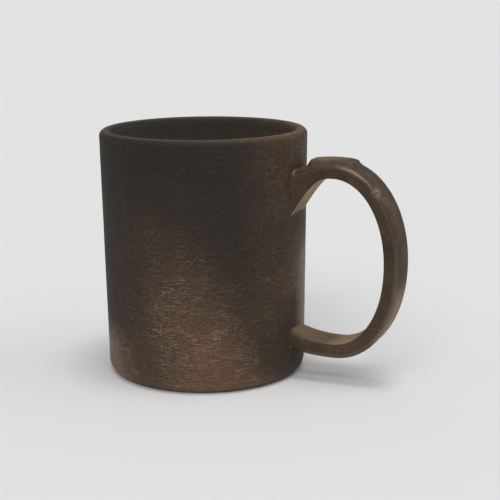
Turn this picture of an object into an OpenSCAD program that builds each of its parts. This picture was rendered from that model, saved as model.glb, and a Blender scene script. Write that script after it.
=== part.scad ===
// Reusable coffee mug: a moulded cup with a loop handle and a thumb rest.
// The origin is the centre of the foot, on the cup's axis. +Z is up, and the
// handle points along +X. Lengths are in millimetres and angles in degrees.

/* [Cup] */
// Outside diameter across the rim
rim_d = 82; // [76:0.5:90]
// Outside diameter of the tapered wall, carried on down to the table
base_d = 79.4; // [74:0.2:88]
// Height from the table to the top of the lip
cup_h = 97.2; // [93:0.2:110]
// Thickness of the wall, which the lip rounds off fully
wall_t = 5.1; // [3.6:0.1:6.5]
// Thickness of the floor
floor_t = 5.5; // [4:0.1:9]
// Radius of the outside corner round the base
corner_r = 4.4; // [2:0.1:6]
// Radius of the inside corner between the wall and the floor
inside_corner_r = 9; // [4:0.5:16]

/* [Foot] */
// Width of the flat ring that the cup stands on
foot_w = 4.5; // [2.5:0.1:8]
// Depth of the recess inside the ring
recess_h = 1.6; // [0.8:0.1:2.5]
// Radius that rounds the recess into the underside
recess_r = 1.2; // [0.4:0.1:1.6]

/* [Handle] */
// Distance from the rim's widest line out to the crown of the loop
crown_gap = 15; // [12:0.5:20]
// Height of the middle of the finger opening above the table
loop_z = 48.65; // [45:0.05:52]
// Half the height of the finger opening
opening_half_h = 32.15; // [28:0.05:34]
// Reach of the finger opening outward from the crown
opening_reach = 20.5; // [16:0.1:26]
// Fullness of the loop's upper curve, where 2 is an ellipse
upper_power = 2.05; // [1.9:0.01:2.4]
// Fullness of the loop's lower curve
lower_power = 2.13; // [1.9:0.01:2.4]
// Thickness of the band at the crown
band_t = 5.8; // [4.5:0.05:7.5]
// Thickness of the band along its outer limb and at its lowest point
lower_band_t = 6.2; // [4.5:0.05:7.5]
// Width of the band
band_w = 14; // [10:0.2:18]
// Radius along the band's outer edges
outer_edge_r = 2.4; // [0.8:0.1:2.6]
// Radius along the band's inner edges
inner_edge_r = 0.4; // [0.2:0.1:1.5]

/* [Handle roots] */
// Drop of the opening from its crown to the wall at the upper root
upper_root_drop = 12.8; // [8:0.2:15]
// Drop of the band's outside from its crown to the wall at the upper root
upper_back_drop = 3.4; // [2.5:0.1:6]
// Run over which the opening bends from its crown into the slope of the upper root
root_bend = 12.5; // [6:0.5:20]
// Fullness of the band's outside at the upper root, where 1 is straight
back_power = 1.3; // [1.2:0.05:2.4]
// Rise of the opening from its lowest point to the wall at the lower root
lower_root_rise = 2.9; // [1.5:0.1:5]
// Rise of the band's underside from its lowest point to the wall
lower_back_rise = 1.3; // [0.8:0.1:3]
// Radius of the band's inner edges at the wall, at the upper root
upper_root_edge_r = 0.5; // [0.4:0.1:2.4]
// Radius of the band's inner edges at the wall, at the lower root
lower_root_edge_r = 2.6; // [0.4:0.1:2.8]
// Radius of the bonding fillet between each root and the wall
bond_r = 0.6; // [0.4:0.1:3]

/* [Thumb rest] */
// Rise of the pad above the crown of the band
rest_rise = 1.4; // [0.5:0.05:2]
// Radius of the pad's gently arched top, seen from the side
rest_arch_r = 75; // [40:1:120]
// Distance from the rim's widest line to the start of the pad's top
rest_start = 5; // [3.4:0.1:6]
// Length of the pad's top
rest_len = 18; // [13:0.1:20]
// Width of the pad's top
rest_w = 7.4; // [6:0.2:11]
// Radius of the corners of the pad's top towards the wall, seen from above
rest_corner_r = 1.2; // [0.6:0.1:3]
// Radius of the corners of the pad's outer end, seen from above
rest_nose_r = 1.6; // [0.6:0.1:4]
// Inset of the pad's foot from where the band's edge turns steeper than the flank
rest_inset = 0.1; // [0.1:0.05:0.6]
// Slope of the pad's end towards the wall
rest_near_slope = 58; // [38:1:60]
// Slope of the pad's outer end
rest_far_slope = 50; // [42:1:60]
// Softness of the bend from the pad's top into its outer end
rest_far_soft = 2.2; // [0.3:0.1:3]
// Slope of the pad's two flanks
rest_flank_slope = 56; // [30:1:60]
// Radius along the top edges of the pad
rest_edge_r = 0.7; // [0.4:0.1:2]

/* [Hidden] */

// Facets of round things
$fn = 96;
// Room that a cutting shape runs past the faces it cuts
spare = 1;
// Gap of the pad from the wall, and depth that its foot runs on in the band
rest_spare = 0.25;
// Rings along the outer half of the loop, each root and each bonding fillet
LOOP_RINGS = 48;
ROOT_RINGS = 14;
FILLET_RINGS = 7;
// Rings along the pad
REST_RINGS = 36;
// Steps round an outer and an inner edge of the band, and an edge of the pad
OUTER_STEPS = 5;
INNER_STEPS = 3;
REST_STEPS = 4;

composite = [0.27, 0.215, 0.175];
bond_tone = [0.24, 0.19, 0.155];

// Lean of the wall, and its outward normal in the plane of radius and height
draft = atan((rim_d - base_d) / 2 / cup_h);
wall_normal = [cos(draft), -sin(draft)];
floor_z = recess_h + floor_t;

// Radius of the outside of the wall at a height, and of its inside
function wall_r(z) = base_d / 2 + (rim_d - base_d) / 2 * z / cup_h;
function inside_r(z) = wall_r(z) - wall_t / cos(draft);

// Centre of a circle that touches a leaning line from inside, at its own height
function touching(line_r, z, r) = [line_r - r / cos(draft), z];

lip_r = wall_t / 2;
lip = touching(wall_r(cup_h - lip_r), cup_h - lip_r, lip_r);
corner = touching(wall_r(corner_r), corner_r, corner_r);
hollow_z = floor_z + inside_corner_r;
hollow = touching(inside_r(hollow_z), hollow_z, inside_corner_r);
recess_edge = corner[0] - foot_w;

// The loop's crown line, and the outside of the band
loop_x = rim_d / 2 + crown_gap;
band_half_h = opening_half_h + band_t;
low_half_h = opening_half_h + lower_band_t;
band_reach = opening_reach + lower_band_t;
crown_z = loop_z + band_half_h;

// Roots run this deep into the wall before they are cut to its face
root_depth = 1.6;
root_x = wall_r(loop_z - low_half_h) - root_depth;
root_run = loop_x - root_x;

// Half width of an oval quarter that falls by drop over a run to the wall
function quarter_reach(half_h, drop, power) =
    crown_gap / pow(1 - pow(1 - drop / half_h, power), 1 / power);
upper_back_reach = quarter_reach(band_half_h, upper_back_drop, back_power);
lower_reach = quarter_reach(opening_half_h, lower_root_rise, lower_power);
lower_back_reach = quarter_reach(low_half_h, lower_back_rise, lower_power);

// Height of an oval quarter over its middle line, at a run from the crown
function quarter_h(half_h, reach, run, power) =
    half_h * pow(1 - pow(min(abs(run) / reach, 1), power), 1 / power);

// One share of an oval's half axis, with its sign kept
function share(v, power) = sign(v) * pow(abs(v), 2 / power);

// Inner and outer point of the band at an angle on the outer half of the loop
function loop_pair(t) =
    let (power = t > 0 ? upper_power : lower_power, outer_h = t > 0 ? band_half_h : low_half_h,
         out = share(cos(t), power), up = share(sin(t), power))
    [[loop_x + opening_reach * out, loop_z + opening_half_h * up],
     [loop_x + band_reach * out, loop_z + outer_h * up]];

// Drop of the opening at a run from the crown, which bends into a straight slope at the upper root
function root_drop(run) =
    upper_root_drop * pow(run / crown_gap, 3)
        * (pow(crown_gap, 2) + pow(root_bend, 2)) / (pow(run, 2) + pow(root_bend, 2));

// Inner and outer point of the upper and of the lower root at a distance x
function upper_pair(x) = [
    [x, loop_z + opening_half_h - root_drop(loop_x - x)],
    [x, loop_z + quarter_h(band_half_h, upper_back_reach, loop_x - x, back_power)]];
function lower_pair(x) = [
    [x, loop_z - quarter_h(opening_half_h, lower_reach, loop_x - x, lower_power)],
    [x, loop_z - quarter_h(low_half_h, lower_back_reach, loop_x - x, lower_power)]];

// Points round one edge of the band's section: across, up from the inside, and facing angle
function edge_points(y, up, r, start, steps) = [
    for (i = [0:steps]) let (a = start + 90 * i / steps) [y + r * cos(a), up + r * sin(a), a]];

// Radius of the inner edges at a distance x, which grows towards a root's own at the wall
function edge_r(x, wall_edge_r) =
    inner_edge_r + (wall_edge_r - inner_edge_r) * pow(min(max((loop_x - x) / crown_gap, 0), 1), 1.5);

// The band's section at a thickness t, as a rectangle with four rounded edges
function section(t, inner_r) =
    let (outer_y = band_w / 2 - outer_edge_r, inner_y = band_w / 2 - inner_r,
         outer_up = t - outer_edge_r)
    concat(
        edge_points(outer_y, outer_up, outer_edge_r, 0, OUTER_STEPS),
        edge_points(-outer_y, outer_up, outer_edge_r, 90, OUTER_STEPS),
        edge_points(-inner_y, inner_r, inner_r, 180, INNER_STEPS),
        edge_points(inner_y, inner_r, inner_r, 270, INNER_STEPS));

// Swell of the bonding fillet at a point this far from the wall
function swell(gap) =
    let (d = min(max(gap, 0), bond_r)) bond_r - sqrt(max(bond_r * bond_r - pow(bond_r - d, 2), 0));

// A ring of the band between an inner and an outer point, with or without the fillet
function ring(pair, inner_r, fillet) =
    let (across = pair[1] - pair[0], t = norm(across), out = across / t)
    [for (p = section(t, inner_r))
        let (at = pair[0] + out * p[1],
             gap = norm([at[0], p[0]]) - wall_r(at[1]),
             grow = fillet ? swell(gap) : 0)
        [at[0] + out[0] * sin(p[2]) * grow,
         p[0] + cos(p[2]) * grow,
         at[1] + out[1] * sin(p[2]) * grow]];

// Distances of a root's rings, from the crown to inside the wall
function root_xs(steps) = [for (i = [1:steps]) loop_x - root_run * sin(90 * i / steps)];

function upper_ring(x, fillet) = ring(upper_pair(x), edge_r(x, upper_root_edge_r), fillet);
function lower_ring(x, fillet) = ring(lower_pair(x), edge_r(x, lower_root_edge_r), fillet);
upper_rings = [for (x = root_xs(ROOT_RINGS)) upper_ring(x, false)];
lower_rings = [for (i = [ROOT_RINGS - 1:-1:0]) lower_ring(root_xs(ROOT_RINGS)[i], false)];
loop_rings = [
    for (i = [0:LOOP_RINGS]) ring(loop_pair(-90 + 180 * i / LOOP_RINGS), inner_edge_r, false)];

// Distances of a fillet's rings, from past its outer end to inside the wall at a height
function fillet_xs(z) = concat(
    [wall_r(z) + bond_r + spare],
    [for (i = [0:FILLET_RINGS - 1])
        wall_r(z) + bond_r - (bond_r + root_depth) * i / (FILLET_RINGS - 1)]);
upper_root_z = (upper_pair(rim_d / 2)[0][1] + upper_pair(rim_d / 2)[1][1]) / 2;
lower_root_z = (lower_pair(rim_d / 2)[0][1] + lower_pair(rim_d / 2)[1][1]) / 2;

// Skin over a row of closed rings, with both ends capped
module skin(rings) {
    n = len(rings[0]);
    last = (len(rings) - 1) * n;
    points = [for (r = rings) each r];
    sides = [
        for (i = [0:len(rings) - 2], j = [0:n - 1])
            let (a = i * n + j, b = i * n + (j + 1) % n)
            each [[a, b, b + n], [a, b + n, a + n]]];
    ends = [for (j = [1:n - 2]) each [[0, j + 1, j], [last, last + j, last + j + 1]]];
    polyhedron(points, concat(sides, ends));
}

// The straight outside of the wall, made larger all round by a gap
module wall_cone(gap) {
    cylinder(h = cup_h, r1 = base_d / 2 + gap, r2 = rim_d / 2 + gap);
}

// Half section of the cup without its hollow
module outer_section() {
    polygon([
        [0, 0], [corner[0], 0], corner + corner_r * wall_normal,
        lip + lip_r * wall_normal, lip - lip_r * wall_normal, [0, lip[1]]]);
    translate(corner) circle(corner_r);
}

// Half section of the hollow, with its rounded floor corner
module hollow_section() {
    edge = lip - lip_r * wall_normal;
    polygon([
        [0, floor_z], [hollow[0], floor_z], hollow + inside_corner_r * wall_normal,
        edge, [edge[0], cup_h + spare], [0, cup_h + spare]]);
    translate(hollow) circle(inside_corner_r);
}

// Half section of the recess under the floor
module recess_section() {
    polygon([
        [0, -spare], [recess_edge, -spare], [recess_edge, recess_h - recess_r],
        [recess_edge - recess_r, recess_h], [0, recess_h]]);
    translate([recess_edge - recess_r, recess_h - recess_r]) circle(recess_r);
}

module cup_body() {
    color(composite) rotate_extrude() {
        difference() {
            outer_section();
            hollow_section();
            recess_section();
        }
        translate(lip) circle(lip_r);
    }
}

module handle() {
    color(composite) difference() {
        skin(concat(lower_rings, loop_rings, upper_rings));
        wall_cone(bond_r);
    }
}

// A bonding fillet round one root, from the wall out to the end of the handle
module bond(rings) {
    color(bond_tone) difference() {
        intersection() {
            skin(rings);
            wall_cone(bond_r);
        }
        wall_cone(0);
    }
}

module upper_handle_bond() {
    bond([for (x = fillet_xs(upper_root_z)) upper_ring(x, true)]);
}

module lower_handle_bond() {
    xs = fillet_xs(lower_root_z);
    bond([for (i = [FILLET_RINGS:-1:0]) lower_ring(xs[i], true)]);
}

// Height of the outside of the band over the table, at a distance x
function band_top(x) =
    x < loop_x ? upper_pair(x)[1][1]
        : loop_z + quarter_h(band_half_h, band_reach, x - loop_x, upper_power);

// The smaller of two heights, rounded where they cross
function soft_min(a, b, soft) = (a + b - sqrt(pow(a - b, 2) + pow(soft, 2))) / 2;

// Height of the pad's arched top, falling away at both ends
rest_x = rim_d / 2 + rest_start;
rest_end = rest_x + rest_len;
function rest_arch(x) = crown_z + rest_rise - pow(x - loop_x, 2) / (2 * rest_arch_r);
function rest_top(x) =
    soft_min(
        soft_min(rest_arch(x), rest_arch(rest_end) - (x - rest_end) * tan(rest_far_slope), rest_far_soft),
        rest_arch(rest_x) + (x - rest_x) * tan(rest_near_slope), rest_edge_r / 2);

// Half width of the pad's top, drawn in round the corners of its two ends
function corner_cut(d, radius) =
    let (r = min(radius, rest_w / 2 - rest_edge_r)) r - sqrt(pow(r, 2) - pow(r - min(max(d, 0), r), 2));
function rest_half_w(x) =
    rest_w / 2 - max(corner_cut(x - rest_x, rest_corner_r), corner_cut(rest_end - x, rest_nose_r));

// Half width of the pad's foot at most, on the rounded edge of the band
rest_foot = band_w / 2 - outer_edge_r * (1 - sin(rest_flank_slope)) - rest_inset;

// Half of a section of the pad: its top edge, its flank and its foot inside the band
function rest_half(x) =
    let (top = rest_top(x), slope = tan(rest_flank_slope),
         edge_y = rest_half_w(x) - rest_edge_r / 2,
         edge = [for (i = [0:REST_STEPS]) let (a = 90 - rest_flank_slope * i / REST_STEPS)
             [edge_y + rest_edge_r * cos(a), top - rest_edge_r * (1 - sin(a))]],
         end = edge[REST_STEPS],
         foot_z = min(end[1], band_top(x)) - band_t / 2,
         foot_y = min(end[0] + (end[1] - foot_z) / slope, rest_foot))
    concat(edge, [[foot_y, end[1] - (foot_y - end[0]) * slope], [foot_y, foot_z - rest_spare]]);
function rest_ring(x) =
    let (half = rest_half(x), n = len(half))
    [for (i = [0:2 * n - 1]) let (p = i < n ? half[i] : half[2 * n - 1 - i])
        [x, i < n ? p[0] : -p[0], p[1]]];

// The pad runs from near the wall to where its outer end has sunk into the band
rest_near = wall_r(crown_z) + rest_spare;
rest_far = rest_end + band_t;

module thumb_rest() {
    xs = [for (i = [0:REST_RINGS]) rest_near + (rest_far - rest_near) * i / REST_RINGS];
    color(composite) difference() {
        skin([for (x = xs) rest_ring(x)]);
        skin(concat([for (i = [LOOP_RINGS / 2:LOOP_RINGS]) loop_rings[i]], upper_rings));
        skin([for (x = fillet_xs(upper_root_z)) upper_ring(x, true)]);
    }
}

cup_body();
handle();
thumb_rest();
upper_handle_bond();
lower_handle_bond();
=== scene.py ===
import math

import bpy
from mathutils import Matrix, Vector, noise


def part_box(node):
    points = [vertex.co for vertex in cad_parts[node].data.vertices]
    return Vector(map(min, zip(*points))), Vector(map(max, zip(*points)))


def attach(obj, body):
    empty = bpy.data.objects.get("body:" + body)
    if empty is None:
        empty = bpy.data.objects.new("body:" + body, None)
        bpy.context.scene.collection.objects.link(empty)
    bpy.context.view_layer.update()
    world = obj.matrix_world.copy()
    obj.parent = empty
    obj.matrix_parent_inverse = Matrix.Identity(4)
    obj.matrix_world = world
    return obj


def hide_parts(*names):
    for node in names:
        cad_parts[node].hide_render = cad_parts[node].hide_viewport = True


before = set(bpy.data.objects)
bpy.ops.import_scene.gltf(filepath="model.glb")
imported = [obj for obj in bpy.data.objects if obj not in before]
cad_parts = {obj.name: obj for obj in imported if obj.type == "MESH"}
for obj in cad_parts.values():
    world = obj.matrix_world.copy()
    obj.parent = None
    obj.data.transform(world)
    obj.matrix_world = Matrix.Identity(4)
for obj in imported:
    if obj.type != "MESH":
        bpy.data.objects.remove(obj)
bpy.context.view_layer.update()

MM = 0.001

# Sizes of the cup, of which the frame gives the height
CUP_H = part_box("cup_body")[1].z
RIM_R = 41.0 * MM
BASE_R = 39.7 * MM
WALL = 5.1 * MM
FLOOR = 5.5 * MM
CORNER_R = 4.4 * MM
INSIDE_CORNER_R = 9.0 * MM
FOOT_W = 4.5 * MM
FOOT_CHAMFER = 0.15 * MM
RECESS_H = 1.6 * MM
RECESS_R = 1.2 * MM

# Sizes of the handle's loop, its band and its roots
CROWN_GAP = 15.0 * MM
LOOP_Z = 48.65 * MM
OPENING_HALF_H = 32.15 * MM
OPENING_REACH = 20.5 * MM
UPPER_POWER = 2.05
LOWER_POWER = 2.13
BAND_T = 5.8 * MM
LOWER_BAND_T = 6.2 * MM
BAND_W = 14.0 * MM
OUTER_EDGE_R = 2.4 * MM
INNER_EDGE_R = 0.4 * MM
UPPER_ROOT_DROP = 12.8 * MM
UPPER_BACK_DROP = 3.4 * MM
ROOT_BEND = 12.5 * MM
BACK_POWER = 1.3
LOWER_ROOT_RISE = 2.9 * MM
LOWER_BACK_RISE = 1.3 * MM
UPPER_ROOT_EDGE_R = 0.5 * MM
LOWER_ROOT_EDGE_R = 2.6 * MM
ROOT_EDGE_POWER = 1.5
ROOT_DEPTH = 1.2 * MM

# Sizes of the bonding fillets: radius, start out on the band as a share of it, depth in the wall,
# and how far the mesh stays inside the solid
BOND_R = 0.6 * MM
BOND_START = 1.15
BOND_SINK = 0.4 * MM
BOND_INSET = 0.012 * MM

# Sizes of the thumb rest
REST_RISE = 1.4 * MM
REST_ARCH_R = 75.0 * MM
REST_START = 5.0 * MM
REST_LEN = 18.0 * MM
REST_W = 7.4 * MM
REST_CORNER_R = 1.2 * MM
REST_NOSE_R = 1.6 * MM
REST_NEAR_SLOPE = math.radians(58)
REST_FAR_SLOPE = math.radians(50)
REST_FAR_SOFT = 2.2 * MM
REST_FLANK_SLOPE = math.radians(56)
REST_INSET = 0.1 * MM
REST_EDGE_R = 0.7 * MM
REST_BLEND = 0.2 * MM
REST_DEPTH = 1.2 * MM
REST_SIDE_SLOPE = 3.0

# The skirt round the thumb rest: gap to the wall, inset from the band's sides,
# depth under the band near the pad and away from it, and where it goes from one to the other
SKIRT_GAP = 0.6 * MM
SKIRT_INSET = 0.1 * MM
REST_SINK = 0.02 * MM
SKIRT_SINK = 0.40 * MM
SKIRT_FALL = (0.05 * MM, 0.45 * MM)

# Uneven hand of the mould: depth on the cup and on the handle, size of the hollows,
# and the mix of a coarse and a finer unevenness
HAND_DEPTH = 0.10 * MM
HANDLE_DEPTH = 0.04 * MM
HAND_SIZE = 13.0 * MM
HAND_COARSE = 0.65
HAND_FINE = 0.35
HAND_FINER = 2.3

# The foot stays flat, and the lip nearly keeps its shape
FOOT_PLAIN = 0.5 * MM
LIP_PLAIN = 6.0 * MM
LIP_UNEVEN = 0.15

# Fineness of the meshes
CUP_SEGMENTS = 224
UNDER_STEPS = 8
RECESS_STEPS = 5
FOOT_STEPS = 3
CORNER_STEPS = 10
WALL_STEPS = 56
LIP_STEPS = 20
INSIDE_STEPS = 40
BOWL_STEPS = 12
FLOOR_STEPS = 12
LOOP_RINGS = 110
ROOT_RINGS = 26
OUTER_STEPS = 7
INNER_STEPS = 5
FLAT_STEPS = 3
BOND_RINGS = 16
BOND_ROUNDS = 6
REST_ALONG = 64
REST_ACROSS = 28

# Painted light on the band: a painted reflection on the inside of the loop, painted light
# on the top of the lower arm by the wall and further out, and a painted reflection on the outer face
# below the bend and on the underside of the crown
INNER_PAINTED_REFLECTION = 0.58
LOW_PAINTED_LIGHT = 0.33
FAR_PAINTED_LIGHT = 0.82
OUTER_PAINTED_REFLECTION = 0.30
CROWN_PAINTED_REFLECTION = 0.32

# Painted light: a painted highlight on the upper bond's edge, painted light on the cup's base
# corner, a painted highlight along the lip's crest, painted light on the pad's top, and painted
# light on the wall round each root against the shade there
BOND_PAINTED_HIGHLIGHT = 0.55
BASE_PAINTED_LIGHT = 0.10
LIP_PAINTED_HIGHLIGHT = 0.11
REST_PAINTED_LIGHT = 0.26
ROOT_PAINTED_LIGHT = 0.045
LOW_ROOT_PAINTED_LIGHT = 0.020

# Painted shade on the lower arm's flanks by the wall and along the bottom, and on the pad's nose,
# and the share of its painted light that the lower root's inner face loses at its corners
ROOT_SHADE = 0.18
LOW_SHADE = 0.14
NOSE_SHADE = 0.4
CORNER_FADE = 0.5

# Wear on the band's edges and the pad, polish on the bend, the pad and the lip
EDGE_WEAR = 0.25
REST_WEAR = 0.3
BEND_POLISH = 0.45
REST_POLISH = 0.3
LIP_POLISH = 0.35

# Where marks on the band begin and are full, by height, by distance from the axis and across
ARM_Z = (46 * MM, 30 * MM)
BEND_Z = (44 * MM, 35 * MM)
BEND_X = (62 * MM, 74 * MM)
FAR_X = (53 * MM, 60 * MM)
CROWN_REFLECTION_Z = (68 * MM, 77 * MM)
CORNER_X = (50 * MM, 42 * MM)
CORNER_Y = (2 * MM, 7 * MM)
SHADE_X = (58 * MM, 43 * MM)
SHADE_Z = (20 * MM, 13 * MM)
BOND_HIGHLIGHT_Z = (80 * MM, 86 * MM)

# The same by the way that a point on the band faces, from 1 for outward to -1 for inward,
# and by its share of a rounded edge
FACING_OUT = (0.4, 0.9)
FACING_IN = (-0.3, -0.9)
FACING_SIDE = (0.95, 0.55)
NOT_INWARD = (-0.7, -0.2)
TWICE_SHADED = (0.3, 0.8)
BOND_HIGHLIGHT_EDGE = (0.0, 0.8)

# The same on the pad: by its depth under the arched top, and by its lift over the band
REST_CREST = (-0.5 * MM, 0.0)
REST_WEAR_LIFT = (0.0, MM)

# Where marks on the cup begin and are full
BASE_X = (BASE_R - 8 * MM, BASE_R - 3 * MM)
BASE_Z = (7 * MM, 1 * MM)
LIP_Z = (CUP_H - 1.8 * MM, CUP_H - 0.5 * MM)
CREST_Z = (CUP_H - 0.7 * MM, CUP_H - 0.1 * MM)
# Where the painted light round each root stands, and how far it reaches
UPPER_ROOT = Vector((RIM_R, 0.0, 75 * MM))
UPPER_LIGHT_REACH = (9 * MM, 21 * MM)
LOWER_ROOT = Vector((RIM_R, 0.0, 18 * MM))
LOWER_LIGHT_REACH = (8 * MM, 16 * MM)

# The camera: its place and aim, fitted to the cup's outline in the photograph
CAM_TURN = math.radians(25.4)
CAM_DISTANCE = 460.0 * MM
CAM_HEIGHT = 152.78 * MM
CAM_YAW = math.radians(2.237)
CAM_PITCH = math.radians(12.887)
CAM_ROLL = math.radians(-0.467)
CAM_SENSOR = 36.0
CAM_LENS = 84.16
CAM_SHIFT_Y = -0.001
CAM_CLIP = (0.01, 200.0)

# The plain floor
FLOOR_TONE = (0.785, 0.785, 0.785, 1.0)
FLOOR_HALF = 30.0


def rise(value, low, high):
    """Smooth share from 0 at one value to 1 at another, in either direction."""
    f = min(max((value - low) / (high - low), 0.0), 1.0)
    return f * f * (3 - 2 * f)


# Shapes of the cup
DRAFT = math.atan((RIM_R - BASE_R) / CUP_H)
FLOOR_Z = RECESS_H + FLOOR
LIP_R = WALL / 2


def wall_r(z):
    """Outer radius of the wall at a height."""
    return BASE_R + (RIM_R - BASE_R) * z / CUP_H


def touching(line_r, z, r):
    """Centre of a circle that touches a leaning line from inside, at its own height."""
    return Vector((line_r - r / math.cos(DRAFT), z))


def arc(centre, r, start, end, steps):
    """Points of an arc in the plane of radius and height, angles in degrees."""
    points = []
    for i in range(steps + 1):
        a = math.radians(start + (end - start) * i / steps)
        points.append(centre + Vector((math.cos(a), math.sin(a))) * r)
    return points


def between(a, b, steps):
    """Points between two ends, without the ends."""
    return [a.lerp(b, i / steps) for i in range(1, steps)]


def cup_profile():
    """Section of the cup from under its middle, round the lip, to the middle of its floor."""
    lean = math.degrees(DRAFT)
    inside = wall_r(FLOOR_Z + INSIDE_CORNER_R) - WALL / math.cos(DRAFT)
    corner = touching(wall_r(CORNER_R), CORNER_R, CORNER_R)
    lip = touching(wall_r(CUP_H - LIP_R), CUP_H - LIP_R, LIP_R)
    hollow = touching(inside, FLOOR_Z + INSIDE_CORNER_R, INSIDE_CORNER_R)
    recess_edge = corner.x - FOOT_W
    recess = Vector((recess_edge - RECESS_R, RECESS_H - RECESS_R))
    under = Vector((0.0, RECESS_H))
    middle = Vector((0.0, FLOOR_Z))
    line = between(under, recess + Vector((0.0, RECESS_R)), UNDER_STEPS)
    line += arc(recess, RECESS_R, 90, 0, RECESS_STEPS)
    foot = Vector((recess_edge, 0.0))
    foot_in = foot + Vector((FOOT_CHAMFER, 0.0))
    line += [foot + Vector((0.0, FOOT_CHAMFER)), foot_in]
    line += between(foot_in, Vector((corner.x, 0.0)), FOOT_STEPS)
    side = arc(corner, CORNER_R, -90, -lean, CORNER_STEPS)
    brow = arc(lip, LIP_R, -lean, 180 - lean, LIP_STEPS)
    line += side + between(side[-1], brow[0], WALL_STEPS) + brow
    bowl = arc(hollow, INSIDE_CORNER_R, -lean, -90, BOWL_STEPS)
    line += between(brow[-1], bowl[0], INSIDE_STEPS) + bowl
    line += between(bowl[-1], middle, FLOOR_STEPS)
    return under, line, middle


# Shapes of the handle
LOOP_X = RIM_R + CROWN_GAP
BAND_HALF_H = OPENING_HALF_H + BAND_T
LOW_HALF_H = OPENING_HALF_H + LOWER_BAND_T
BAND_REACH = OPENING_REACH + LOWER_BAND_T
CROWN_Z = LOOP_Z + BAND_HALF_H


def quarter_reach(half_h, drop, power):
    """Half width of an oval quarter that falls by drop over the run to the wall."""
    return CROWN_GAP / (1 - (1 - drop / half_h) ** power) ** (1 / power)


def quarter_h(half_h, reach, run, power):
    """Height of an oval quarter over its middle line, at a run from the crown."""
    return half_h * (1 - min(abs(run) / reach, 1) ** power) ** (1 / power)


UPPER_BACK_REACH = quarter_reach(BAND_HALF_H, UPPER_BACK_DROP, BACK_POWER)
LOWER_REACH = quarter_reach(OPENING_HALF_H, LOWER_ROOT_RISE, LOWER_POWER)
LOWER_BACK_REACH = quarter_reach(LOW_HALF_H, LOWER_BACK_RISE, LOWER_POWER)


def share(v, power):
    """A sine or cosine bent to an oval of this power."""
    return math.copysign(abs(v) ** (2 / power), v)


def loop_pair(t):
    """Inner and outer point of the band at an angle on the outer half of the loop."""
    power = UPPER_POWER if t > 0 else LOWER_POWER
    outer_h = BAND_HALF_H if t > 0 else LOW_HALF_H
    c, s = share(math.cos(t), power), share(math.sin(t), power)
    inner = Vector((LOOP_X + OPENING_REACH * c, LOOP_Z + OPENING_HALF_H * s))
    return inner, Vector((LOOP_X + BAND_REACH * c, LOOP_Z + outer_h * s))


def root_drop(run):
    """Drop of the opening at a run from the crown, which bends into a straight slope."""
    bend = (CROWN_GAP ** 2 + ROOT_BEND ** 2) / (run ** 2 + ROOT_BEND ** 2)
    return UPPER_ROOT_DROP * (run / CROWN_GAP) ** 3 * bend


def root_pair(x, way):
    """Inner and outer point of a root at a distance x: way is 1 for the upper, -1 for the lower."""
    run = LOOP_X - x
    if way > 0:
        inner = OPENING_HALF_H - root_drop(run)
        outer = quarter_h(BAND_HALF_H, UPPER_BACK_REACH, run, BACK_POWER)
    else:
        inner = quarter_h(OPENING_HALF_H, LOWER_REACH, run, LOWER_POWER)
        outer = quarter_h(LOW_HALF_H, LOWER_BACK_REACH, run, LOWER_POWER)
    return Vector((x, LOOP_Z + way * inner)), Vector((x, LOOP_Z + way * outer))


def root_edge_r(x, way):
    """Radius of the inner edges, which grows towards the wall."""
    at_wall = UPPER_ROOT_EDGE_R if way > 0 else LOWER_ROOT_EDGE_R
    near = min(max((LOOP_X - x) / CROWN_GAP, 0.0), 1.0)
    return INNER_EDGE_R + (at_wall - INNER_EDGE_R) * near ** ROOT_EDGE_POWER


def band_section(t, inner_r=INNER_EDGE_R):
    """Section of the band: across, up from the inside, facing angle, and share of a rounded edge."""
    outer_y, inner_y = BAND_W / 2 - OUTER_EDGE_R, BAND_W / 2 - inner_r
    corners = (
        (outer_y, t - OUTER_EDGE_R, OUTER_EDGE_R, 0, OUTER_STEPS),
        (-outer_y, t - OUTER_EDGE_R, OUTER_EDGE_R, 90, OUTER_STEPS),
        (-inner_y, inner_r, inner_r, 180, INNER_STEPS),
        (inner_y, inner_r, inner_r, 270, INNER_STEPS))
    points = []
    for y, up, r, start, steps in corners:
        for i in range(steps + 1):
            a = math.radians(start + 90 * i / steps)
            edge = math.sin(math.pi * i / steps)
            points.append((y + r * math.cos(a), up + r * math.sin(a), a, edge))
    full = []
    for i, p in enumerate(points):
        q = points[(i + 1) % len(points)]
        full.append(p)
        if p[3] < 0.001 and q[3] < 0.001:
            for k in range(1, FLAT_STEPS):
                f = k / FLAT_STEPS
                full.append((p[0] + (q[0] - p[0]) * f, p[1] + (q[1] - p[1]) * f, p[2], 0.0))
    return full


def band_marks(at, facing, edge):
    """Wear, polish, painted light and shade of a point on the band, by how it faces and where it is.
    """
    outer = math.sin(facing)
    arm = rise(at.z, *ARM_Z)
    bend = rise(outer, *FACING_OUT) * rise(at.z, *BEND_Z) * rise(at.x, *BEND_X)
    ridge = edge * rise(outer, *FACING_SIDE) if outer > 0 else 0.0
    # Painted reflections on the inward faces, and painted light on the lower arm's top
    low = LOW_PAINTED_LIGHT + (FAR_PAINTED_LIGHT - LOW_PAINTED_LIGHT) * rise(at.x, *FAR_X)
    inner = INNER_PAINTED_REFLECTION * (1 - arm) + arm * low
    inner += CROWN_PAINTED_REFLECTION * rise(at.z, *CROWN_REFLECTION_Z)
    inner *= 1 - CORNER_FADE * arm * rise(at.x, *CORNER_X) * rise(abs(at.y), *CORNER_Y)
    painted_lighting = max(OUTER_PAINTED_REFLECTION * bend, inner * rise(outer, *FACING_IN))
    # Painted shade on the lower arm's flanks and along its bottom
    shade = max(ROOT_SHADE * rise(at.x, *SHADE_X), LOW_SHADE * rise(at.z, *SHADE_Z))
    shade *= arm * rise(outer, *NOT_INWARD) * (1 + rise(outer, *TWICE_SHADED))
    return EDGE_WEAR * edge * (1 - arm), max(ridge, BEND_POLISH * bend), painted_lighting - shade


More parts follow.
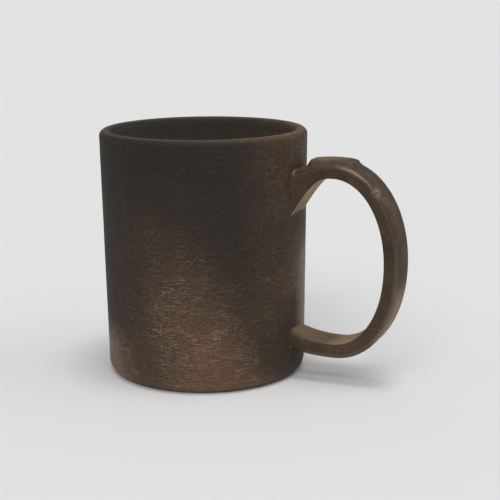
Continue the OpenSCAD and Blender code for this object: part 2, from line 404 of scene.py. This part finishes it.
def band_ring(pair, inner_r=INNER_EDGE_R):
    """Points of the band's skin between an inner and an outer point, with their marks."""
    inner, outer = pair
    thick = (outer - inner).length
    out = (outer - inner) / thick
    ring = []
    for y, up, facing, edge in band_section(thick, inner_r):
        flat = inner + out * up
        at = Vector((flat.x, y, flat.y))
        ring.append((at, band_marks(at, facing, edge)))
    return ring


def swell(gap):
    """Swell of the bonding fillet at a point this far from the wall."""
    d = min(max(gap, 0.0), BOND_R)
    return BOND_R - math.sqrt(max(BOND_R ** 2 - (BOND_R - d) ** 2, 0.0))


def bond_ring(gap, way):
    """Points of a bonding fillet that all lie this far from the wall, with their marks."""
    grow = swell(gap) - BOND_INSET
    ring = []
    for k in range(len(band_section(BAND_T))):
        x = RIM_R + gap
        for _ in range(BOND_ROUNDS):
            inner, outer = root_pair(x, way)
            thick = (outer - inner).length
            out = (outer - inner) / thick
            y, up, facing, edge = band_section(thick, root_edge_r(x, way))[k]
            z = inner.y + out.y * (up + math.sin(facing) * grow)
            y += math.cos(facing) * grow
            x = math.sqrt((wall_r(z) + gap) ** 2 - y ** 2)
        at = Vector((x, y, z))
        wear, polish, painted_lighting = band_marks(at, facing, edge)
        # Painted highlight along the upper bond's top edge
        top = rise(z, *BOND_HIGHLIGHT_Z) * rise(edge, *BOND_HIGHLIGHT_EDGE)
        ring.append((at, (wear, polish, painted_lighting + BOND_PAINTED_HIGHLIGHT * top)))
    return ring


# Shapes of the thumb rest, as heights over the table
REST_X = RIM_R + REST_START
REST_END = REST_X + REST_LEN
REST_FOOT = BAND_W / 2 - OUTER_EDGE_R * (1 - math.sin(REST_FLANK_SLOPE)) - REST_INSET
NOSE_X = (REST_END - 4 * MM, REST_END + MM)


def band_top(x):
    """Height of the band's outer face along its middle."""
    if x < LOOP_X:
        return root_pair(x, 1)[1].y
    return LOOP_Z + quarter_h(BAND_HALF_H, BAND_REACH, x - LOOP_X, UPPER_POWER)


def band_height(x, y):
    """Height of the band's outer face, with its rounded edges."""
    q = max(abs(y) - (BAND_W / 2 - OUTER_EDGE_R), 0.0)
    return band_top(x) - OUTER_EDGE_R + math.sqrt(max(OUTER_EDGE_R ** 2 - q ** 2, 0.0))


def soft_min(a, b, soft):
    """The lower of two heights, with a rounded change from one to the other."""
    return (a + b - math.sqrt((a - b) ** 2 + soft ** 2)) / 2


def rest_arch(x):
    """Height of the pad's gently arched top."""
    return CROWN_Z + REST_RISE - (x - LOOP_X) ** 2 / (2 * REST_ARCH_R)


def corner_cut(d, radius):
    """Width that a corner of the pad's plan takes off, at a distance from its end."""
    r = min(radius, REST_W / 2 - REST_EDGE_R)
    return r - math.sqrt(r ** 2 - (r - min(max(d, 0.0), r)) ** 2)


def rest_height(x, y):
    """Height of the pad by itself at a place on it."""
    near = rest_arch(REST_X) + (x - REST_X) * math.tan(REST_NEAR_SLOPE)
    far = rest_arch(REST_END) - (x - REST_END) * math.tan(REST_FAR_SLOPE)
    top = soft_min(soft_min(rest_arch(x), far, REST_FAR_SOFT), near, REST_EDGE_R / 2)
    cut = max(corner_cut(x - REST_X, REST_CORNER_R), corner_cut(REST_END - x, REST_NOSE_R))
    half_w = REST_W / 2 - cut
    q = abs(y) - (half_w - REST_EDGE_R / 2)
    turn = REST_EDGE_R * math.sin(REST_FLANK_SLOPE)
    if q <= 0:
        return top
    if q <= turn:
        return top - REST_EDGE_R + math.sqrt(REST_EDGE_R ** 2 - q ** 2)
    drop = REST_EDGE_R * (1 - math.cos(REST_FLANK_SLOPE))
    return top - drop - (q - turn) * math.tan(REST_FLANK_SLOPE)


# Meshes
def uneven(point, inward, depth):
    """A point moved inward by the shallow unevenness of the mould."""
    coarse = noise.noise(point / HAND_SIZE) * HAND_COARSE
    fine = noise.noise(point / HAND_SIZE * HAND_FINER) * HAND_FINE
    return point + inward * (depth * (0.5 + 0.5 * max(-1.0, min(1.0, coarse + fine))))


def piece(name, points, marks, faces, material, nodes, slot):
    """A smooth mesh that rides on the mug, stands for a node and has a finish."""
    mesh = bpy.data.meshes.new(name)
    mesh.from_pydata([tuple(p) for p in points], [], faces)
    mesh.validate()
    mesh.shade_smooth()
    for key, values in zip(("wear", "polish", "painted_lighting"), zip(*marks)):
        mesh.attributes.new(key, "FLOAT", "POINT").data.foreach_set("value", values)
    mesh.materials.append(material)
    obj = bpy.data.objects.new(name, mesh)
    bpy.context.scene.collection.objects.link(obj)
    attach(obj, "root")
    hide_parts(*nodes)


def skin(rings):
    """Points, marks and faces of a closed skin over a row of rings."""
    n = len(rings[0])
    points = [p for ring in rings for p, _ in ring]
    marks = [m for ring in rings for _, m in ring]
    faces = []
    for i in range(len(rings) - 1):
        for j in range(n):
            a, b = i * n + j, i * n + (j + 1) % n
            faces.append((a, b, b + n, a + n))
    last = (len(rings) - 1) * n
    faces.append(tuple(reversed(range(n))))
    faces.append(tuple(range(last, last + n)))
    return points, marks, faces


def cup_marks(at, r):
    """Wear, polish and painted light of a point on the cup, which has this radius."""
    # Painted light on the base corner, and a painted highlight along the lip's crest
    base = rise(r, *BASE_X) * rise(at.z, *BASE_Z)
    lip = rise(at.z, *LIP_Z)
    crest = rise(at.z, *CREST_Z)
    # Painted light on the wall round the two roots, against the shade there
    root_light = ROOT_PAINTED_LIGHT * (1 - rise((at - UPPER_ROOT).length, *UPPER_LIGHT_REACH))
    root_light += LOW_ROOT_PAINTED_LIGHT * (1 - rise((at - LOWER_ROOT).length, *LOWER_LIGHT_REACH))
    return lip, LIP_POLISH * lip, BASE_PAINTED_LIGHT * base + LIP_PAINTED_HIGHLIGHT * crest + root_light


def make_cup(material):
    """The cup, turned from its section, with an uneven wall."""
    under, line, middle = cup_profile()
    points, marks, faces = [], [], []
    rows = len(line)
    for j in range(CUP_SEGMENTS):
        a = 2 * math.pi * j / CUP_SEGMENTS
        c, s = math.cos(a), math.sin(a)
        for i, p in enumerate(line):
            along = (line[min(i + 1, rows - 1)] - line[max(i - 1, 0)]).normalized()
            inward = Vector((-along.y * c, -along.y * s, along.x))
            at = Vector((p.x * c, p.x * s, p.y))
            level = min(1.0, (CUP_H - p.y) / LIP_PLAIN + LIP_UNEVEN)
            if p.y < FOOT_PLAIN:
                level = 0.0
            points.append(at.lerp(uneven(at, inward, HAND_DEPTH), level))
            marks.append(cup_marks(at, p.x))
    low, top = len(points), len(points) + 1
    points += [Vector((0, 0, under.y)), Vector((0, 0, middle.y))]
    marks += [(0.0, 0.0, 0.0)] * 2
    for j in range(CUP_SEGMENTS):
        a, b = j * rows, (j + 1) % CUP_SEGMENTS * rows
        for i in range(rows - 1):
            faces.append((a + i, b + i, b + i + 1, a + i + 1))
    for j in range(CUP_SEGMENTS):
        a, b = j * rows, (j + 1) % CUP_SEGMENTS * rows
        faces.append((low, b, a))
        faces.append((top, a + rows - 1, b + rows - 1))
    piece("cup", points, marks, faces, material, ["cup_body"], "composite")


def make_handle(material):
    """The loop of the handle, from its lower root round to its upper one."""
    run = LOOP_X - (wall_r(LOOP_Z - LOW_HALF_H) - ROOT_DEPTH)
    turns = [math.pi / 2 * i / ROOT_RINGS for i in range(1, ROOT_RINGS + 1)]
    steps = [LOOP_X - run * math.sin(t) for t in turns]
    rings = [band_ring(root_pair(x, -1), root_edge_r(x, -1)) for x in reversed(steps)]
    rings += [band_ring(loop_pair(math.pi * (i / LOOP_RINGS - 0.5))) for i in range(LOOP_RINGS + 1)]
    rings += [band_ring(root_pair(x, 1), root_edge_r(x, 1)) for x in steps]
    shaped = []
    for ring in rings:
        centre = sum((p for p, _ in ring), Vector()) / len(ring)
        shaped.append([(uneven(p, (centre - p).normalized(), HANDLE_DEPTH), m) for p, m in ring])
    piece("handle_loop", *skin(shaped), material, ["handle"], "composite")


def make_bond(name, node, way, material):
    """A bonding fillet round one root: way is 1 for the upper, -1 for the lower."""
    turns = [math.pi / 2 * i / BOND_RINGS for i in range(BOND_RINGS + 1)]
    gaps = [BOND_R * BOND_START] + [BOND_R * (1 - math.sin(t)) for t in turns] + [-BOND_SINK]
    rings = [bond_ring(g, way) for g in gaps]
    if way < 0:
        rings.reverse()
    piece(name, *skin(rings), material, [node], "bond")


def make_rest(material):
    """The thumb rest, with a skirt that goes under the band round it."""
    near = wall_r(CROWN_Z) + SKIRT_GAP
    far = REST_END + BAND_T
    half_w = BAND_W / 2 - SKIRT_INSET
    top, low, marks = [], [], []
    for i in range(REST_ALONG + 1):
        x = near + (far - near) * i / REST_ALONG
        nose = rise(x, *NOSE_X)
        for j in range(REST_ACROSS + 1):
            y = half_w * math.sin(math.pi / 2 * (2 * j / REST_ACROSS - 1))
            band = band_height(x, y)
            height = rest_height(x, y)
            proud = min(height - band, (REST_FOOT - abs(y)) * REST_SIDE_SLOPE)
            lift = (proud + math.sqrt(proud ** 2 + REST_BLEND ** 2)) / 2
            sink = REST_SINK + SKIRT_SINK * rise(-proud, *SKIRT_FALL)
            at = Vector((x, y, band + lift - sink))
            top.append(uneven(at, Vector((0, 0, -1)), HANDLE_DEPTH))
            low.append(Vector((x, y, band - REST_DEPTH)))
            crest = rise(height - rest_arch(x), *REST_CREST)
            # Painted light on the pad's top, and painted shade on its nose
            painted_lighting = REST_PAINTED_LIGHT * crest * (1 - nose) - NOSE_SHADE * nose
            marks.append((REST_WEAR * rise(lift, *REST_WEAR_LIFT), REST_POLISH, painted_lighting))
    n = REST_ACROSS + 1
    size = len(top)
    faces = []
    for i in range(REST_ALONG):
        for j in range(REST_ACROSS):
            a = i * n + j
            faces.append((a, a + n, a + n + 1, a + 1))
            faces.append((size + a, size + a + 1, size + a + n + 1, size + a + n))
        for j in (0, REST_ACROSS):
            a, b = i * n + j, (i + 1) * n + j
            wall = (a, size + a, size + b, b)
            faces.append(wall if j == 0 else tuple(reversed(wall)))
    for i in (0, REST_ALONG):
        for j in range(REST_ACROSS):
            a, b = i * n + j, i * n + j + 1
            wall = (a, b, size + b, size + a)
            faces.append(wall if i == 0 else tuple(reversed(wall)))
    piece("thumb_pad", top + low, marks * 2, faces, material, ["thumb_rest"], "composite")


# Materials
class Nodes:
    """Shorthand for the nodes of one material."""

    def __init__(self, tree):
        self.tree = tree

    def add(self, kind, inputs, **options):
        """The outputs of a new node, whose inputs are sockets or plain values."""
        node = self.tree.nodes.new(kind)
        for key, value in options.items():
            setattr(node, key, value)
        for key, value in inputs.items():
            if isinstance(value, bpy.types.NodeSocket):
                self.tree.links.new(value, node.inputs[key])
            else:
                node.inputs[key].default_value = value
        return node.outputs

    def math(self, operation, a, b=0.0):
        return self.add("ShaderNodeMath", {0: a, 1: b}, operation=operation)[0]

    def plus(self, a, b):
        return self.math("ADD", a, b)

    def times(self, a, b):
        return self.math("MULTIPLY", a, b)

    def vector(self, operation, a, b):
        return self.add("ShaderNodeVectorMath", {0: a, 1: b}, operation=operation)

    def stretched(self, place, up):
        """A place with its height multiplied."""
        return self.vector("MULTIPLY", place, (1.0, 1.0, up))[0]

    def scaled(self, colour, factor):
        return self.add("ShaderNodeVectorMath", {0: colour, 3: factor}, operation="SCALE")[0]

    def ramp(self, value, span, levels=(0.0, 1.0)):
        """A smooth change between two levels, over a span of the value."""
        inputs = {"Value": value, "From Min": span[0], "From Max": span[1]}
        inputs |= {"To Min": levels[0], "To Max": levels[1]}
        return self.add("ShaderNodeMapRange", inputs, interpolation_type="SMOOTHSTEP")["Result"]

    def noise(self, vector, scale, detail=2.0, roughness=0.5):
        inputs = {"Vector": vector, "Scale": scale, "Detail": detail, "Roughness": roughness}
        return self.add("ShaderNodeTexNoise", inputs)["Fac"]

    def hairline(self, vector, scale, step):
        """Lines of even width where a noise crosses its middle within a step up the wall."""
        here = self.math("SUBTRACT", self.noise(vector, scale), 0.5)
        above = self.vector("ADD", vector, (0.0, 0.0, step))[0]
        above = self.math("SUBTRACT", self.noise(above, scale), 0.5)
        return self.math("LESS_THAN", self.times(here, above), 0.0)

    def mix(self, part, a, b):
        """A mix of two colours."""
        return self.add("ShaderNodeMix", {0: part, 6: a, 7: b}, data_type="RGBA")[2]

    def mark(self, name):
        """One of the marks that the meshes carry."""
        return self.add("ShaderNodeAttribute", {}, attribute_name=name)["Fac"]


# Colours: the cup's dark brown, the warm brown of its painted light and of the handle's mottling,
# the handle's dark, the inside of the cup painted paler against its shade and paler still at its
# sides as painted light, the pale of the painted crease glints and of the scuff, worn edges, the
# painted light, and the tint of the gloss
DARK = (0.0222, 0.0206, 0.0186, 1.0)
WARM_AND_LIT_BROWN = (0.132, 0.074, 0.043, 1.0)
HANDLE_DARK = (0.0112, 0.0078, 0.0046, 1.0)
INSIDE_LIT_BROWN = (0.150, 0.128, 0.110, 1.0)
INSIDE_SIDE_LIT_BROWN = (0.27, 0.225, 0.175, 1.0)
GLINT_AND_SCUFF = (0.47, 0.365, 0.27, 1.0)
EDGE = (0.27, 0.135, 0.065, 1.0)
PAINTED_LIGHT_TONE = (0.36, 0.26, 0.15, 1.0)
TINT = (1.0, 0.81, 0.61, 1.0)

# Directions across the cup that its painted light, mottling and flecks are laid out by:
# a fixed turn from the handle, the same as the camera's, because the painted light and mottling
# were read from the side that the photograph shows
LAYOUT_TURN = math.radians(25.4)
LAYOUT_SIDE = (math.cos(LAYOUT_TURN), math.sin(LAYOUT_TURN), 0.0)
LAYOUT_FRONT = (math.sin(LAYOUT_TURN), -math.cos(LAYOUT_TURN), 0.0)

# Scales of the noises, in cells per metre
CLOUD_SCALE = 26.0
BEND_SCALE = 90.0
LONG_SCALE = 125.0
BLOTCH_SCALE = 150.0
SHORT_SCALE = 245.0
GAP_SCALE = 320.0
FLECK_SCALE = 760.0
GRAIN_SCALE = 1500.0
ROUGH = 0.6

# Painted reflection of the floor, in a warm lobe which leans to one side as it goes up:
# where it stands, how steeply it fades to its right and left, and how strong it is.
# Sides go from -1 to 1, heights from 0 to 1.
LOBE_LEAN = -0.70
LOBE_SIDE = 0.10
LOBE_RIGHT = 1.28
LOBE_LEFT = -0.95
LOBE_SPAN = (0.05, 0.80)
LOBE_LIGHT = (0.80, 0.18)
LOBE_HIGH = (-0.15, 0.95)

# Painted light in patches: a painted reflection low on the left and at the right edge within the
# loop, and painted light from the right high by the handle
LEFT_SPAN = (-0.95, -0.38)
LEFT_LIGHT = (0.62, 0.0)
LEFT_HIGH = (0.03, 0.28)
RIGHT_SPAN = (0.82, 0.97)
RIGHT_LIGHT = (0.0, 0.60)
RIGHT_FROM = (0.08, 0.25)
RIGHT_TO = (0.36, 0.64)
UPPER_SPAN = (0.15, 0.75)
UPPER_LIGHT = (0.0, 0.22)
UPPER_HIGH = (0.15, 0.50)
FADE = (1.0, 0.0)

# Clouds that vary the painted light on the cup, and the handle's own mottling
CLOUD_SPAN = (0.3, 0.7)
CLOUD_GAIN = (0.75, 1.25)
HANDLE_BLOTCH = 0.8
HANDLE_SPAN = (0.6, 1.15)
HANDLE_WARM = (0.04, 0.31)
HANDLE_FROM = (40.5 * MM, 48.0 * MM)

# The inside of the cup, painted paler against its shade, and the part painted paler still
# at the two sides where light falls
INSIDE_SPAN = (RIM_R - WALL * 1.2, RIM_R - WALL * 0.92)
INSIDE_SIDES = (0.50, 0.86)

# Creases, with real relief: how much longer they are round the wall than up it, how they waver,
# how thick they are, where their painted glints break off, and how much these show on the lit
# ground, by height and by blotches
CREASE_STRETCH = 5.5
BEND_DEPTH = 1.4 * MM
LONG_STEP = 0.95 * MM
SHORT_STEP = 0.75 * MM
SHORT_SHOW = 0.85
GAP_STRETCH = 1.8
LONG_GAPS = (0.46, 0.58)
SHORT_GAPS = (0.44, 0.54)
BLOTCH_SPAN = (0.36, 0.62)
BLOTCH_SHOW = (0.30, 1.15)
WARM_SPAN = (0.04, 0.56)
WARM_SHOW = (0.05, 0.60)
HIGH_SPAN = (0.02, 0.30)
HIGH_SHOW = (0.50, 0.88)

# Grain in the colour
GRAIN_SPAN = (0.25, 0.75)
GRAIN_GAIN = (0.76, 1.24)

# Worn edges on the right towards the front in flecks, and a painted highlight in flecks
# on the lip at the far left
WORN_FRONT = 0.6
WORN_SPAN = (0.30, 1.05)
WORN_SHOW = (0.02, 0.26)
LIT_LEFT = (-0.98, -0.84)
LIT_LEFT_SHOW = (0.20, 0.0)
FLECK_STRETCH = 2.5
FLECK_SPAN = (0.46, 0.64)
FLECK_SHOW = (0.30, 1.0)

# Painted light varies with the blotches, and a mark below zero is painted shade
PALE_SPAN = (0.35, 0.65)
PALE_GAIN = (0.82, 1.15)
SHADE_SPAN = (-0.5, 0.0)
SHADE_GAIN = (0.5, 1.0)

# One small scuff on the loop
SCUFF = (73.1 * MM, -6.2 * MM, 76.2 * MM)
SCUFF_SPAN = (0.6 * MM, 2.6 * MM)
SCUFF_SHOW = (0.45, 0.0)
SCUFF_FLECKS = (0.46, 0.56)

# Gloss: warm ground is smoother, and polished places are smoother still
GLOSS_SPAN = (0.02, 0.60)
POLISHED = (1.0, 0.31)

# Relief of the creases and the grain
RELIEF_DEPTH = 0.3 * MM
CREASE_RELIEF = 0.8
GRAIN_RELIEF = 0.2


def warmth_and_painted_light(n, high, side, radius, cloud, blotch):
    """Share of warm brown: painted light in a lobe and patches on the cup, and the handle's
    mottling.
    """
    inputs = {0: high, 1: LOBE_LEAN, 2: LOBE_SIDE}
    middle = n.add("ShaderNodeMath", inputs, operation="MULTIPLY_ADD")[0]
    past = n.math("SUBTRACT", side, middle)
    off = n.math("MAXIMUM", n.times(past, LOBE_RIGHT), n.times(past, LOBE_LEFT))
    lobe = n.times(n.ramp(off, LOBE_SPAN, LOBE_LIGHT), n.ramp(high, LOBE_HIGH, FADE))
    left = n.times(n.ramp(side, LEFT_SPAN, LEFT_LIGHT), n.ramp(high, LEFT_HIGH, FADE))
    right = n.times(n.ramp(side, RIGHT_SPAN, RIGHT_LIGHT), n.ramp(high, RIGHT_FROM))
    right = n.times(right, n.ramp(high, RIGHT_TO, FADE))
    upper = n.times(n.ramp(side, UPPER_SPAN, UPPER_LIGHT), n.ramp(high, UPPER_HIGH))
    cup = n.plus(n.plus(lobe, upper), n.plus(left, right))
    cup = n.times(cup, n.ramp(cloud, CLOUD_SPAN, CLOUD_GAIN))
    mottle = n.plus(cloud, n.times(blotch, HANDLE_BLOTCH))
    handle = n.ramp(mottle, HANDLE_SPAN, HANDLE_WARM)
    return n.add("ShaderNodeMix", {0: n.ramp(radius, HANDLE_FROM), 2: cup, 3: handle})[0]


def creases(n, place, blotch):
    """The long creases, and all creases with pale painted glints that break off in places."""
    laid = n.stretched(place, CREASE_STRETCH)
    inputs = {"Vector": laid, "Scale": BEND_SCALE, "Detail": 1.0}
    bend = n.add("ShaderNodeTexNoise", inputs)["Color"]
    bend = n.vector("SUBTRACT", bend, (0.5, 0.5, 0.5))[0]
    bend = n.vector("MULTIPLY", bend, (BEND_DEPTH, BEND_DEPTH, BEND_DEPTH))[0]
    laid = n.vector("ADD", laid, bend)[0]
    long = n.hairline(laid, LONG_SCALE, LONG_STEP)
    short = n.times(n.hairline(laid, SHORT_SCALE, SHORT_STEP), SHORT_SHOW)
    gaps = n.noise(n.stretched(place, GAP_STRETCH), GAP_SCALE, roughness=ROUGH)
    broken = n.times(long, n.ramp(gaps, LONG_GAPS))
    short = n.times(short, n.ramp(gaps, SHORT_GAPS, FADE))
    glint_lines = n.math("MAXIMUM", broken, short)
    return long, n.times(glint_lines, n.ramp(blotch, BLOTCH_SPAN, BLOTCH_SHOW))


def composite(name, dark, glint_share, specular, dull, fine, relief):
    """Dark moulded composite: mottled brown, painted light, shade and glints, wear and polish."""
    material = bpy.data.materials.new(name)
    material.use_nodes = True
    material.node_tree.nodes.clear()
    n = Nodes(material.node_tree)
    place = n.add("ShaderNodeTexCoord", {})["Object"]
    high = n.math("DIVIDE", n.add("ShaderNodeSeparateXYZ", {0: place})["Z"], CUP_H)
    flat = n.stretched(place, 0.0)
    radius = n.add("ShaderNodeVectorMath", {0: flat}, operation="LENGTH")["Value"]
    side = n.math("DIVIDE", n.vector("DOT_PRODUCT", flat, LAYOUT_SIDE)["Value"], RIM_R)
    front = n.math("DIVIDE", n.vector("DOT_PRODUCT", flat, LAYOUT_FRONT)["Value"], RIM_R)

    # Noises that several steps share
    cloud = n.noise(place, CLOUD_SCALE)
    blotch = n.noise(place, BLOTCH_SCALE, 3.0, ROUGH)
    fleck = n.noise(n.stretched(place, FLECK_STRETCH), FLECK_SCALE, roughness=ROUGH)
    grain = n.noise(place, GRAIN_SCALE, roughness=ROUGH)

    # Ground colour with the cup's painted light, the inside of the cup painted paler against its
    # shade and paler still at its sides where light falls, and the grain
    warm_and_lit = warmth_and_painted_light(n, high, side, radius, cloud, blotch)
    tone = n.mix(warm_and_lit, dark, WARM_AND_LIT_BROWN)
    sides = n.ramp(n.math("ABSOLUTE", side), INSIDE_SIDES)
    tone = n.mix(n.ramp(radius, INSIDE_SPAN, FADE), tone, n.mix(sides, INSIDE_LIT_BROWN, INSIDE_SIDE_LIT_BROWN))
    tone = n.scaled(tone, n.ramp(grain, GRAIN_SPAN, GRAIN_GAIN))

    # Painted glints along the creases, showing most on the painted light and low on the wall
    long, glint_lines = creases(n, place, blotch)
    show = n.times(n.ramp(warm_and_lit, WARM_SPAN, WARM_SHOW), glint_share)
    show = n.times(show, n.ramp(high, HIGH_SPAN, HIGH_SHOW))
    tone = n.mix(n.times(glint_lines, show), tone, GLINT_AND_SCUFF)

    # Worn edges with a painted highlight at the lip's far left, painted light and shade, and the
    # scuff
    facing = n.plus(side, n.times(front, WORN_FRONT))
    rubbed_and_lit = n.ramp(facing, WORN_SPAN, WORN_SHOW)
    # Painted highlight on the lip at the far left
    rubbed_and_lit = n.plus(rubbed_and_lit, n.ramp(side, LIT_LEFT, LIT_LEFT_SHOW))
    worn_and_lit = n.times(n.times(n.mark("wear"), rubbed_and_lit), n.ramp(fleck, FLECK_SPAN, FLECK_SHOW))
    tone = n.mix(worn_and_lit, tone, EDGE)
    painted_lighting = n.times(n.mark("painted_lighting"), n.ramp(blotch, PALE_SPAN, PALE_GAIN))
    tone = n.mix(painted_lighting, tone, PAINTED_LIGHT_TONE)
    tone = n.scaled(tone, n.ramp(painted_lighting, SHADE_SPAN, SHADE_GAIN))
    scuff = n.ramp(n.vector("DISTANCE", place, SCUFF)["Value"], SCUFF_SPAN, SCUFF_SHOW)
    tone = n.mix(n.times(scuff, n.ramp(fleck, SCUFF_FLECKS)), tone, GLINT_AND_SCUFF)

    # Gloss and relief
    matt = n.ramp(warm_and_lit, GLOSS_SPAN, (dull, fine))
    matt = n.times(matt, n.ramp(n.mark("polish"), (0.0, 1.0), POLISHED))
    height = n.plus(n.times(long, CREASE_RELIEF), n.times(grain, GRAIN_RELIEF))
    inputs = {"Strength": relief, "Distance": RELIEF_DEPTH, "Height": height}
    bump = n.add("ShaderNodeBump", inputs)[0]
    inputs = {"Base Color": tone, "Roughness": matt, "Normal": bump}
    inputs |= {"Specular IOR Level": specular, "Specular Tint": TINT}
    shader = n.add("ShaderNodeBsdfPrincipled", inputs)[0]
    n.add("ShaderNodeOutputMaterial", {"Surface": shader})
    return material


cup_look = composite(
    "composite_cup", DARK, glint_share=1.0, specular=0.24, dull=0.74, fine=0.44, relief=0.30)
handle_look = composite(
    "composite_handle", HANDLE_DARK, glint_share=0.55, specular=1.00, dull=0.88, fine=0.82, relief=0.05)
bond_look = composite(
    "bond_brown", HANDLE_DARK, glint_share=0.35, specular=1.00, dull=0.88, fine=0.82, relief=0.05)

make_cup(cup_look)
make_handle(handle_look)
make_rest(handle_look)
make_bond("upper_bond", "upper_handle_bond", 1, bond_look)
make_bond("lower_bond", "lower_handle_bond", -1, bond_look)


# Floor, light and camera
def seen(right, away, up=0.0):
    """A direction or place given as the camera sees it, turned into the part's frame."""
    c, s = math.cos(CAM_TURN), math.sin(CAM_TURN)
    return Vector((right * c - away * s, right * s + away * c, up))


def make_floor():
    """A plain pale floor, large enough to fill the view."""
    mesh = bpy.data.meshes.new("floor")
    ends = ((-1, -1), (1, -1), (1, 1), (-1, 1))
    corners = [(x * FLOOR_HALF, y * FLOOR_HALF, 0.0) for x, y in ends]
    mesh.from_pydata(corners, [], [(0, 1, 2, 3)])
    material = bpy.data.materials.new("floor_paper")
    material.use_nodes = True
    shader = material.node_tree.nodes["Principled BSDF"]
    shader.inputs["Base Color"].default_value = FLOOR_TONE
    shader.inputs["Roughness"].default_value = 1.0
    shader.inputs["Specular IOR Level"].default_value = 0.0
    mesh.materials.append(material)
    floor = bpy.data.objects.new("floor", mesh)
    bpy.context.scene.collection.objects.link(floor)


def make_sun(name, source, energy, angle):
    """A distant soft lamp that shines from a direction, angle in degrees."""
    lamp = bpy.data.lights.new(name, "SUN")
    lamp.energy = energy
    lamp.angle = math.radians(angle)
    obj = bpy.data.objects.new(name, lamp)
    obj.rotation_euler = source.to_track_quat("Z", "Y").to_euler()
    bpy.context.scene.collection.objects.link(obj)


def make_world(horizon, overhead):
    """Even light all round, a little brighter overhead than near the horizon."""
    world = bpy.data.worlds.new("studio")
    bpy.context.scene.world = world
    world.use_nodes = True
    n = Nodes(world.node_tree)
    way = n.add("ShaderNodeTexCoord", {})["Generated"]
    up = n.add("ShaderNodeSeparateXYZ", {0: way})["Z"]
    inputs = {"Value": up, "To Min": horizon, "To Max": overhead}
    light = n.add("ShaderNodeMapRange", inputs)["Result"]
    world.node_tree.links.new(light, world.node_tree.nodes["Background"].inputs["Color"])


def make_camera():
    """The camera, at the photograph's angle."""
    data = bpy.data.cameras.new("camera")
    data.sensor_width = CAM_SENSOR
    data.lens = CAM_LENS
    data.shift_y = CAM_SHIFT_Y
    data.clip_start, data.clip_end = CAM_CLIP
    ahead = seen(math.sin(CAM_YAW), math.cos(CAM_YAW))
    side = seen(math.cos(CAM_YAW), -math.sin(CAM_YAW))
    up = Vector((0, 0, 1))
    look = ahead * math.cos(CAM_PITCH) - up * math.sin(CAM_PITCH)
    level = ahead * math.sin(CAM_PITCH) + up * math.cos(CAM_PITCH)
    right = side * math.cos(CAM_ROLL) + level * math.sin(CAM_ROLL)
    top = level * math.cos(CAM_ROLL) - side * math.sin(CAM_ROLL)
    turned = Matrix((right, top, -look)).transposed().to_4x4()
    obj = bpy.data.objects.new("camera", data)
    obj.matrix_world = Matrix.Translation(seen(0.0, -CAM_DISTANCE, CAM_HEIGHT)) @ turned
    bpy.context.scene.collection.objects.link(obj)
    bpy.context.scene.camera = obj


make_floor()
make_sun("overhead", seen(0.10, -0.10, 1.0), energy=0.9, angle=20.0)
make_sun("front", seen(-0.18, -0.70, 0.69), energy=1.05, angle=34.0)
make_sun("right", seen(0.95, -0.10, 0.40), energy=0.5, angle=60.0)
make_world(horizon=0.20, overhead=0.50)
make_camera()
bpy.context.scene.view_settings.view_transform = "Standard"
